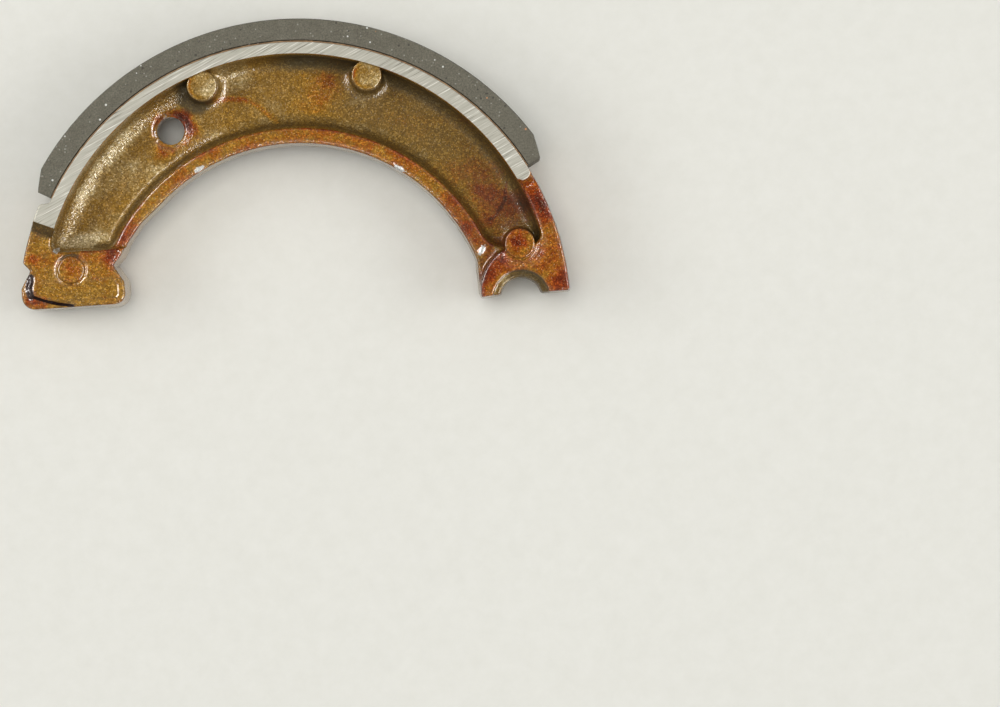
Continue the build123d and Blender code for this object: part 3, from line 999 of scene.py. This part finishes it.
# %% Painted shade and dull patches
def painted_shade_and_dullness(x, y, tall):
    """How much painted shade and lost gloss a place gets, from 0 to 1: on the slope at the rim's cam end,
    under the rim past the crown, round the anchor end's column, along the foot of the rib, in the web past
    the crown, on the pocket's floor and towards the pin, in the seat, and beside the first column, where its
    cast shadow is painted. The largest of these counts."""
    from_pocket, hub = pocket_distance(x, y), hub_distance(x, y)
    low = smooth_step(7.8, 6.5, tall)
    on_slope = smooth_step(-0.1, 0.1, rim_end_distance(x, y)) * smooth_step(8.5, 8.58, tall)
    on_slope *= (x < -40) & (y > 13)
    rim_foot = band(from_pocket, -4.0, -1.6, -0.3, 0.05) * (hub > 43) * low
    rim_foot *= smooth_step(-8, 3, x) * (0.8 + 0.2 * smooth_step(34, 10, x))
    moat = smooth_step(4.2, 3.2, np.hypot(x - disc_x, y - disc_y)) * low
    along_rib = bell(from_pocket + 0.75, 0.55) * (hub < pocket_middle) * (tall < 5.3)
    past_crown = smooth_step(-14, -4, x) * smooth_step(-3.2, -2.2, from_pocket)
    past_crown *= (from_pocket < 0) & (hub < pocket_middle)
    in_seat = smooth_step(5.5, 5.3, np.hypot(x - pin_x, y)) * smooth_step(-3.5, 0, x - pin_x)
    boss_x, boss_y = bosses[0][:2]
    beside_boss = smooth_step(4.3, 2.9, np.hypot(x - boss_x + 1.6, y - boss_y + 1.4)) * low
    towards_pin = np.where(from_pocket < 0, 0.53 * smooth_step(3, 16, x), 0.25 * smooth_step(25, 32, x))
    in_pocket = 0.1 * smooth_step(-2.6, -3.6, from_pocket)
    return np.maximum.reduce([
        0.85 * on_slope, rim_foot, 0.35 * moat, 0.6 * along_rib, 0.4 * past_crown, 0.8 * in_seat,
        0.95 * beside_boss, low * towards_pin, low * in_pocket,
    ])


# Painted shade, with lost gloss, for every point of the casting.
shade_and_dull = painted_shade_and_dullness(plan_x, plan_y, np.abs(plan_z))
print(round(100 * (shade_and_dull > 0.5).mean()), "% of the points are mostly dull")

# %% [markdown]
# Three runs of lacquer dried as drips, dark lines that cross the surface on the side that faces up. The
# fold is kept as a number too, because its crease is painted dark, as painted shade.

# %% Drips and the fold
# Each drip: its width, how faint it is, and the corners of its line.
drips = [
    (1.0, 0.08, [(-14.5, 40.6), (-10.6, 41.1), (-7.5, 40.6), (-5.2, 39.4), (-3.4, 37.7), (-1.7, 36.2)]),
    (0.8, 0.28, [(40.3, 22.0), (39.8, 20.4), (39.6, 18.6), (38.5, 17.0), (37.6, 15.7), (36.4, 15.2)]),
    (0.7, 0.5, [(42.1, 19.6), (42.3, 17.9), (43.0, 16.5), (43.3, 14.3)]),
]
too_far = 9.0
to_drips = [faint + line_distance(plan_x, plan_y, line) / width for width, faint, line in drips]
drip = np.where((plan_z > 0.3) & (plan_z < 7), np.minimum.reduce(to_drips), too_far)
fold = np.where(plan_z > 0.3, fold_distance(plan_x, plan_y), too_far)
print(len(drips), "drips, the nearest point at", drip.min().round(2))

# %% [markdown]
# Two more numbers steer the gloss. Under the rim on the cam's side, by the hole, round the columns and along
# the outer edge the lacquer dried in small beads, which glint one by one. Along the rib and on the slope at
# the anchor end it is satin rather than glossy. A third number tells how far along the band a point is.

# %% Beads and satin
from_edge = pocket_distance(plan_x, plan_y)
rim_side = hub_distance(plan_x, plan_y) > pocket_middle
by_hole = bell(plan_x + 17, 4.5)
beaded = band(from_edge, -3.8, -2.4, -0.7, -0.3)
beaded *= np.where(rim_side, 0.25 + 0.75 * smooth_step(-4, -18, plan_x), 0.1 + 0.5 * by_hole)
for boss_x, boss_y, radius, *_ in bosses:
    from_column = np.hypot(plan_x - boss_x, plan_y - boss_y) - radius
    broken = 0.7 if boss_x > 40 else 0.34
    ring = broken * band(from_column, 0.5, 0.9, 1.6, 2.2)
    beaded = np.maximum(beaded * smooth_step(0.3, 0.8, from_column), ring)
on_collar = band(np.hypot(plan_x - hole_x, plan_y - hole_y), 2.9, 3.1, 3.9, 4.3) * (plan_x > hole_x)
from_outline = np.concatenate([inside, inside, np.full(len(casting_points) - 2 * total, too_far)])
beaded = np.maximum.reduce([beaded, 0.6 * on_collar, 0.6 * smooth_step(0.8, 0.4, from_outline)])
satin = band(from_edge, -3.6, -2.6, -1.3, -0.9) * (1 - by_hole) * (plan_y > 12)
satin *= np.where(rim_side, 0.25, 0.75)
on_end_slope = smooth_step(1.8, 0.9, np.hypot(plan_x - 44.6, plan_y - 20.7))
satin = np.maximum.reduce([satin, 0.8 * on_end_slope, 0.5 * on_collar])
per_radian = 65.0
along_band = np.arctan2(plan_y, plan_x) * per_radian
print("points beaded and satin:", (beaded > 0.5).sum(), (satin > 0.5).sum())

# %% [markdown]
# ## Lacquered metal
#
# The finish is three things at once: a blasted alloy whose grains glint, by bumps and by painted sparkle, a
# stain of varying strength, and a clear gloss on top. The stain comes from the stored amount with two sizes
# of cloudy noise added, and a ramp turns it from pale gold through orange and rust to maroon.

# %% Stain
def stored_number(tree, name):
    """Number kept with each vertex, as an output."""
    return node(tree, "Attribute", attribute_name=name).outputs["Fac"]


def fade(tree, value, first, last, top=1.0):
    """top at first and below, 0 at last and above."""
    return rescale(tree, value, first, last, top, 0.0, interpolation_type="SMOOTHSTEP")


lacquered, tree, shader, place = start_material("lacquered_casting")
clouds = arithmetic(tree, "SUBTRACT", speckle(tree, place, 0.42, 4.0, 0.6), 0.5)
mottle = arithmetic(tree, "SUBTRACT", speckle(tree, place, 1.7, 3.0, 0.65), 0.5)
stain = arithmetic(tree, "MULTIPLY_ADD", clouds, 0.34, stored_number(tree, "lacquer"))
stain = arithmetic(tree, "MULTIPLY_ADD", mottle, 0.5, stain)
wobble = arithmetic(tree, "MULTIPLY_ADD", speckle(tree, place, 1.4, 3.0), 0.6, -0.3)
drip_line = arithmetic(tree, "ADD", stored_number(tree, "drip"), wobble)
stain = arithmetic(tree, "ADD", stain, fade(tree, drip_line, 0.2, 1.0, 0.3))
stain_stops = [
    (0.0, (0.42, 0.325, 0.16)), (0.1, (0.29, 0.19, 0.06)), (0.24, (0.212, 0.115, 0.02)),
    (0.38, (0.245, 0.128, 0.016)), (0.48, (0.26, 0.12, 0.011)), (0.6, (0.255, 0.08, 0.006)),
    (0.75, (0.205, 0.035, 0.004)), (0.9, (0.12, 0.018, 0.004)), (1.0, (0.072, 0.012, 0.004)),
]
colour = ramp(tree, stain, *stain_stops)
print("stain in", len(stain_stops), "steps")

# %% [markdown]
# Random cells stand for the blasted grains, each a little lighter or darker than the next, and the lightest
# are brightened well past their colour, towards white, as painted sparkle. A second set of cells gives pale
# flakes, from about two cells in five, which are painted glints.

# %% Grains, and flakes as painted sparkle
def cells(tree, place, per_mm):
    """Random cells, so many to the millimetre: the distance to a cell's middle, and its random numbers."""
    sockets = {"Vector": place, "Scale": per_mm, "Randomness": 1.0}
    made = node(tree, "TexVoronoi", sockets, feature="F1")
    numbers = node(tree, "SeparateColor", {"Color": made.outputs["Color"]})
    return made.outputs["Distance"], numbers.outputs


grain_per_mm, flake_per_mm = 4.2, 3.9
_, (grain, *_) = cells(tree, place, grain_per_mm)
# The top stops brighten the lightest grains towards white: painted sparkle.
grain_and_sparkle_shades = [
    (0.0, (0.56, 0.53, 0.5)), (0.5, (0.94, 0.94, 0.93)),
    (0.8, (1.17, 1.19, 1.24)), (1.0, (1.95, 2.15, 2.9)),
]
colour = blend(tree, 1.0, colour, ramp(tree, grain, *grain_and_sparkle_shades), "MULTIPLY")
from_flake, (_, flake, _) = cells(tree, place, flake_per_mm)
# Pale flakes on about two cells in five: painted glints.
sparkle_chosen = rescale(tree, flake, 0.62, 1.0, 0.0, 0.5)
painted_sparkle_amount = arithmetic(tree, "MULTIPLY", sparkle_chosen, fade(tree, from_flake, 0.15, 0.45))
colour = blend(tree, painted_sparkle_amount, colour, (0.56, 0.45, 0.25))
print("grains", round(1 / grain_per_mm, 2), "mm across")

# %% [markdown]
# Dull patches are greyer and darker than the rest, and the fold is nearly black with a wavering edge.

# %% Painted shade and the fold's colour
# Painted shade: the colour is multiplied towards a grey blue and mixed half with a dark brown.
painted_shade_colour = blend(tree, 0.5, blend(tree, 1.0, colour, (0.36, 0.44, 0.7), "MULTIPLY"), (0.09, 0.072, 0.045))
colour = blend(tree, stored_number(tree, "shade_and_dull"), colour, painted_shade_colour)
waver = speckle(tree, place, 2.2, 3.0)
fold_edge = arithmetic(tree, "MULTIPLY_ADD", waver, 0.16, stored_number(tree, "fold"))
# The fold's crease is painted nearly black, as painted shade.
colour = blend(tree, fade(tree, fold_edge, 0.3, 0.44), colour, (0.032, 0.016, 0.012))
print("numbers read so far: lacquer, drip, dull and fold")

# %% [markdown]
# Each chip shows bare alloy. A Mapping node centres, turns and scales the place to the chip, so that the
# length of the result is 1 at its edge, and noise makes that edge ragged.

# %% Bare chips
bare = 0.0
ragged = arithmetic(tree, "SUBTRACT", speckle(tree, place, 2.0, 4.0, 0.7), 0.5)
for chip_x, chip_y, long, wide, angle in chips:
    chip = {"Location": (chip_x, chip_y, 6.5), "Rotation": (0, 0, radians(angle)), "Scale": (long, wide, 6.0)}
    local = node(tree, "Mapping", {"Vector": place, **chip}, vector_type="TEXTURE").outputs[0]
    apart = node(tree, "VectorMath", {0: local}, operation="LENGTH").outputs["Value"]
    near = fade(tree, arithmetic(tree, "MULTIPLY_ADD", ragged, 1.6, apart), 0.8, 1.0)
    bare = arithmetic(tree, "MAXIMUM", bare, near)
# The chip at the anchor end lies on a dent, and its pale bare alloy also stands in for a reflection there:
# partly painted reflection.
bare_colour = ramp(tree, grain, (0.0, (0.32, 0.315, 0.3)), (1.0, (0.66, 0.66, 0.63)))
colour = blend(tree, bare, colour, bare_colour)
print(len(chips), "chips of bare alloy")

# %% [markdown]
# A coat layer gives the gloss, weaker where shade is painted and the surface dulled, and where it is satin.
# The
# alloy and the coat are bumped apart: the alloy by its grain, the coat by a smoother grain, and both by the
# beads.
# The beads' noise reads the number along the band, the radius and the height in place of x, y and z, so that
# the beads follow the walls, and it is stretched across the band.

# %% Gloss and bumps
dulled = arithmetic(tree, "MULTIPLY", stored_number(tree, "shade_and_dull"), 0.75)
shine_lost = arithmetic(tree, "ADD", dulled, stored_number(tree, "satin"))
in_plan = node(tree, "VectorMath", {0: place, 1: (1.0, 1.0, 0.0)}, operation="MULTIPLY").outputs[0]
radius = node(tree, "VectorMath", {0: in_plan}, operation="LENGTH").outputs["Value"]
across_band = arithmetic(tree, "MULTIPLY", radius, 0.6)
up = node(tree, "SeparateXYZ", {"Vector": place}).outputs["Z"]
band_place = node(tree, "CombineXYZ", {"X": stored_number(tree, "along_band"), "Y": across_band, "Z": up})
bead_noise = speckle(tree, band_place.outputs[0], 2.4, 1.5, 0.5)
beads = arithmetic(tree, "MULTIPLY", bead_noise, stored_number(tree, "beaded"))
alloy_grain = bump(tree, speckle(tree, place, 3.4, 2.5, 0.6), 0.2, 0.5)
coat_grain = bump(tree, speckle(tree, place, 3.4, 1.0, 0.5), 0.1, 0.22)
fill(tree, shader, {
    "Base Color": colour,
    "Metallic": 0.45,
    "Specular IOR Level": 0.0,
    "Roughness": rescale(tree, grain, 0.0, 1.0, 0.46, 0.62),
    "Normal": bump(tree, beads, 0.4, 0.6, alloy_grain),
    "Coat Weight": arithmetic(tree, "SUBTRACT", 1.0, shine_lost, clamp=True),
    "Coat Roughness": 0.1,
    "Coat IOR": 1.65,
    "Coat Normal": bump(tree, beads, 0.5, 0.6, coat_grain),
})
print("lacquered metal:", len(tree.nodes), "nodes")

# %% [markdown]
# ## Ground metal
#
# The rim's two sides were ground flat after lacquering, so they are bare alloy. A grinding wheel leaves
# parallel scratches, all in about one direction whatever way the rim runs, because the shoe moved past the
# wheel in a straight line. Noise that is stretched along that direction gives them.

# %% Ground metal
ground, tree, shader, place = start_material("ground_metal")
turned = node(tree, "Mapping", {"Vector": place, "Rotation": (0.0, 0.0, radians(-25.0))}).outputs[0]
long_way = node(tree, "Mapping", {"Vector": turned, "Scale": (0.09, 2.6, 0.3)}).outputs[0]
hair_way = node(tree, "Mapping", {"Vector": turned, "Scale": (0.14, 4.6, 0.3)}).outputs[0]
scores = speckle(tree, long_way, 1.0, 3.0, 0.7)
hairs = speckle(tree, hair_way, 1.0, 2.0, 0.6)
marks = arithmetic(tree, "MULTIPLY_ADD", scores, 0.5, arithmetic(tree, "MULTIPLY", hairs, 0.5))
shine_stops = [
    (0.36, (0.15, 0.145, 0.12)), (0.43, (0.385, 0.37, 0.31)),
    (0.56, (0.48, 0.465, 0.4)), (0.65, (0.8, 0.79, 0.73)),
]
shine = ramp(tree, marks, *shine_stops)
scratched = bump(tree, marks, 0.04, 0.7)
fill(tree, shader, {"Base Color": shine, "Metallic": 0.5, "Roughness": 0.45, "Normal": scratched})
print("ground metal:", len(tree.nodes), "nodes")

# %% [markdown]
# The casting is one piece with two finishes. A triangle is ground metal where all of it lies at the level
# of the ground faces. The numbers worked out above go with the mesh.

# %% The casting
casting = mesh_object(
    "brake_shoe_casting",
    casting_points,
    casting_faces,
    "shoe_casting",
    [lacquered, ground],
    sharp_angle=50.0,
)
for number, values in {
    "lacquer": pooled, "drip": drip, "fold": fold, "shade_and_dull": shade_and_dull,
    "beaded": beaded, "satin": satin, "along_band": along_band,
}.items():
    store(casting, number, values)
ground_level = 9.93
is_ground = (np.abs(casting_points[casting_faces][:, :, 2]) > ground_level).all(axis=1)
casting.data.polygons.foreach_set("material_index", is_ground.astype(np.int32))
print(is_ground.sum(), "ground triangles")

# %% [markdown]
# ## Friction lining
#
# The lining is a curved block of moulded friction material. Its section is a rectangle with slightly
# broken edges, carried round the drum's axis. At both ends the friction face slopes in, so that the drum
# meets it gently. The end rows shrink to their middle, which closes the block.

# %% Section carried round the axis
def section(inner, outer, half, broken, count):
    """Rectangle with bevelled corners as a closed line, for each station's own radii: even directions are
    stretched until they meet a square, the square is scaled to the rectangle, and its corners pulled in."""
    turn = np.linspace(0, 2 * np.pi, count + 1)[:-1] + np.pi / count
    side = np.stack([np.cos(turn), np.sin(turn)])
    stretched = side / np.abs(side).max(axis=0)
    tall = stretched[1] * half
    wide = (inner + outer)[:, None] / 2 + stretched[0] * (outer - inner)[:, None] / 2
    corner = np.clip(np.abs(stretched).min(axis=0), 0, 1) ** 24
    wide = wide - np.sign(stretched[0]) * broken * corner
    return wide, np.broadcast_to(tall - np.sign(stretched[1]) * broken * corner, wide.shape)


shrink = np.array([0.0, 0.3, 0.65, 0.9])[:, None]


def capped(values):
    """Grid with extra rows at both ends that shrink each end to its middle."""
    first = values[0].mean() + (values[0] - values[0].mean()) * shrink
    last = values[-1].mean() + (values[-1] - values[-1].mean()) * shrink[::-1]
    return np.vstack([first, values, last])


def carried(stations, wide, tall):
    """Points and faces of a section carried round the drum's axis: each station is an angle in degrees from
    the crown, and a point there has the place (-radius times its sine, radius times its cosine, height)."""
    turn = capped(np.radians(stations)[:, None] + 0 * wide)
    wide, tall = capped(wide), capped(tall)
    points = np.stack([-wide * np.sin(turn), wide * np.cos(turn), tall], axis=2).reshape(-1, 3)
    return points, grid_faces(*wide.shape, True)


print("an end shrinks in", len(shrink), "rows to", shrink[0, 0])

# %% Lining
lining_inner, drum_radius, lining_height, lining_half = 50.65, 54.8, 10.0, 61.0
lead_in, lead_depth, broken_edge = 4.4, 1.45, 0.07
stations = np.linspace(-lining_half, lining_half, 560)
past = np.clip(np.abs(stations) - (lining_half - lead_in), 0, None) / lead_in
inner, outer = np.full(len(stations), lining_inner), drum_radius - lead_depth * past
lining_section = section(inner, outer, lining_height, broken_edge, 64)
lining_points, lining_faces = carried(stations, *lining_section)
print("lining from radius", lining_inner, "to", lining_points[:, 1].max().round(2), "mm")

# %% [markdown]
# The material is dark grey with an olive cast. It is a mix of fibre, resin and filler, so up close it is
# grainy, with specks of brass or glass that catch the light, a few orange ones and small dark pits.

# %% Lining material
friction, tree, shader, place = start_material("friction_material")
clouds = speckle(tree, place, 0.5, 5.0, 0.65)
base = ramp(tree, clouds, (0.35, (0.108, 0.099, 0.07)), (0.65, (0.136, 0.126, 0.092)))
grit = ramp(tree, speckle(tree, place, 3.2, 3.0, 0.7), (0.3, (0.6, 0.6, 0.6)), (0.7, (1.38, 1.38, 1.38)))
base = blend(tree, 1.0, base, grit, "MULTIPLY")


def specks(per_mm, size, share):
    """Round specks: where a random cell's number is above a limit and its centre is near."""
    distance, numbers = cells(tree, place, per_mm)
    chosen = arithmetic(tree, "GREATER_THAN", numbers[1], 1 - share)
    return arithmetic(tree, "MULTIPLY", chosen, rescale(tree, distance, size, size * 1.5, 1.0, 0.0))


pits = specks(1.2, 0.2, 0.09)
base = blend(tree, pits, base, (0.06, 0.054, 0.04))
base = blend(tree, arithmetic(tree, "MULTIPLY", specks(1.7, 0.2, 0.12), 0.35), base, (0.5, 0.49, 0.43))
base = blend(tree, specks(0.75, 0.12, 0.16), base, (0.7, 0.7, 0.66))
base = blend(tree, specks(0.8, 0.12, 0.035), base, (0.55, 0.24, 0.1))
rough = bump(tree, speckle(tree, place, 3.0, 4.0, 0.7), 0.12, 0.5)
pitted = bump(tree, pits, 0.1, 0.7, rough, invert=True)
fill(tree, shader, {"Base Color": base, "Roughness": 0.72, "Specular IOR Level": 0.35, "Normal": pitted})
mesh_object("brake_shoe_lining", lining_points, lining_faces, "friction_lining", [friction])

# %% [markdown]
# ## Bond line
#
# A thin film of adhesive holds the lining. It shows as a rust-brown line, uneven where a little was
# squeezed out over the ground edge.

# %% Bond line
bond_half, bond_inner, bond_outer, bond_height = 60.95, 50.47, 50.63, 10.015
bond_stations = np.linspace(-bond_half, bond_half, 700)
squeezed = np.clip(0.03 * sine_noise(bond_stations[:, None] * 0.9, 21, 0.8, 6), 0, 1)
bond_section = section(bond_inner - squeezed, bond_outer + squeezed, bond_height, 0.05, 24)
bond_points, bond_faces = carried(bond_stations, *bond_section)
adhesive, tree, shader, place = start_material("cured_adhesive")
rust_stops = [(0.3, (0.2, 0.105, 0.045)), (0.55, (0.36, 0.21, 0.095)), (0.75, (0.5, 0.33, 0.17))]
rust = ramp(tree, speckle(tree, place, 0.8, 4.0, 0.6), *rust_stops)
uneven = bump(tree, speckle(tree, place, 3.0, 3.0), 0.06, 0.5)
fill(tree, shader, {"Base Color": rust, "Roughness": 0.5, "Normal": uneven})
mesh_object("brake_shoe_bond", bond_points, bond_faces, "bond_line", [adhesive])
